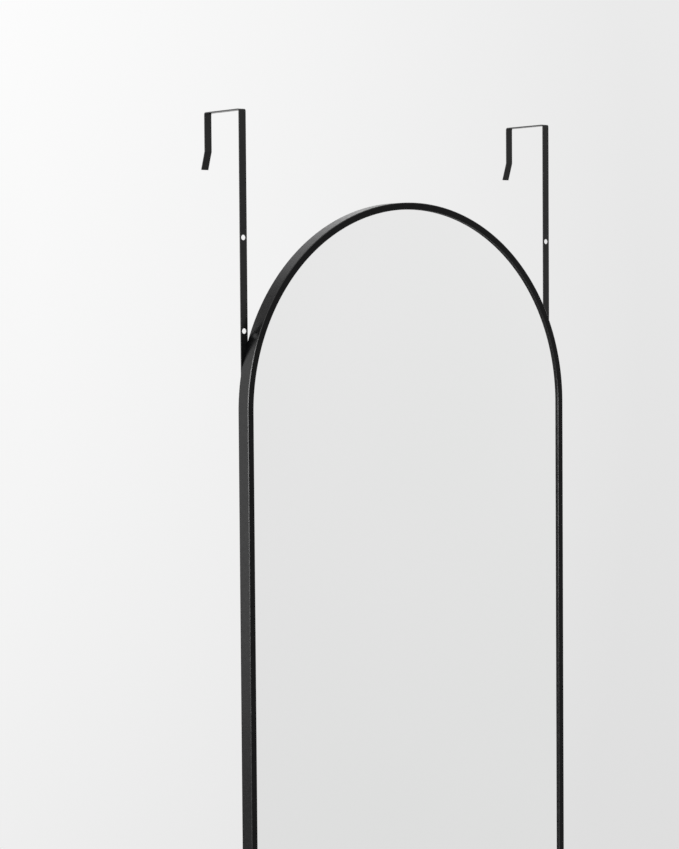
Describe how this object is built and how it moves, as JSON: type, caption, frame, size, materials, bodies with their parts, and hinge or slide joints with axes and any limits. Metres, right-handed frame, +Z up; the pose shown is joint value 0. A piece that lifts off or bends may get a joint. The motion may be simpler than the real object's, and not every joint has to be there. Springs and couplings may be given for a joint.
{
  "type": "over the door mirror",
  "caption": "Tall mirror with a semicircular head in a thin black metal frame, hung on flat strap hooks that slide in its rear channel.",
  "frame": {"origin": "midway between the two hooks, on the door's top edge: Z = 0 at the underside of the hooks' bridges, Y = 0 at the back face of their front straps", "axes": "+X to the right as the mirror is looked at, +Y back towards the door, +Z up; the glass faces -Y"},
  "size_m": [0.356, 0.0702, 1.2952],
  "materials": {
    "frame": "satin black powder coat",
    "strap": "satin black powder coat",
    "screw_black": "black oxide",
    "zinc": "zinc plated",
    "screw_steel": "plain",
    "spring_steel": "bright spring steel",
    "seal": "matt black foam",
    "mirror": "silvered float glass",
    "film": "clear film over grey backing paint",
    "board": "brown hardboard, smooth side out",
    "bumper": "matt black rubber"
  },
  "bodies": {
    "mirror": {"frame_arch": "frame", "bottom_rail": "frame", "corner_key_left": "zinc", "corner_key_right": "zinc", "corner_key_screws": "screw_steel", "glass_seal": "seal", "mirror_glass": "mirror", "safety_film": "film", "backing_board": "board", "board_clips": "spring_steel", "bumper_left": "bumper", "bumper_right": "bumper"},
    "hook_strap_left": {"hook_left": "strap", "hook_screws_left": "screw_black", "slide_nut_left_upper": "zinc", "slide_nut_left_lower": "zinc"},
    "hook_strap_right": {"hook_right": "strap", "hook_screws_right": "screw_black", "slide_nut_right_upper": "zinc", "slide_nut_right_lower": "zinc"}
  },
  "joints": [
    {"name": "hook_slide_left", "type": "slide", "parent": "mirror", "child": "hook_strap_left", "axis": [0, 0, 1], "range_m": [-0.156, 0]},
    {"name": "hook_slide_right", "type": "slide", "parent": "mirror", "child": "hook_strap_right", "axis": [0, 0, 1], "range_m": [-0.156, 0]}
  ]
}
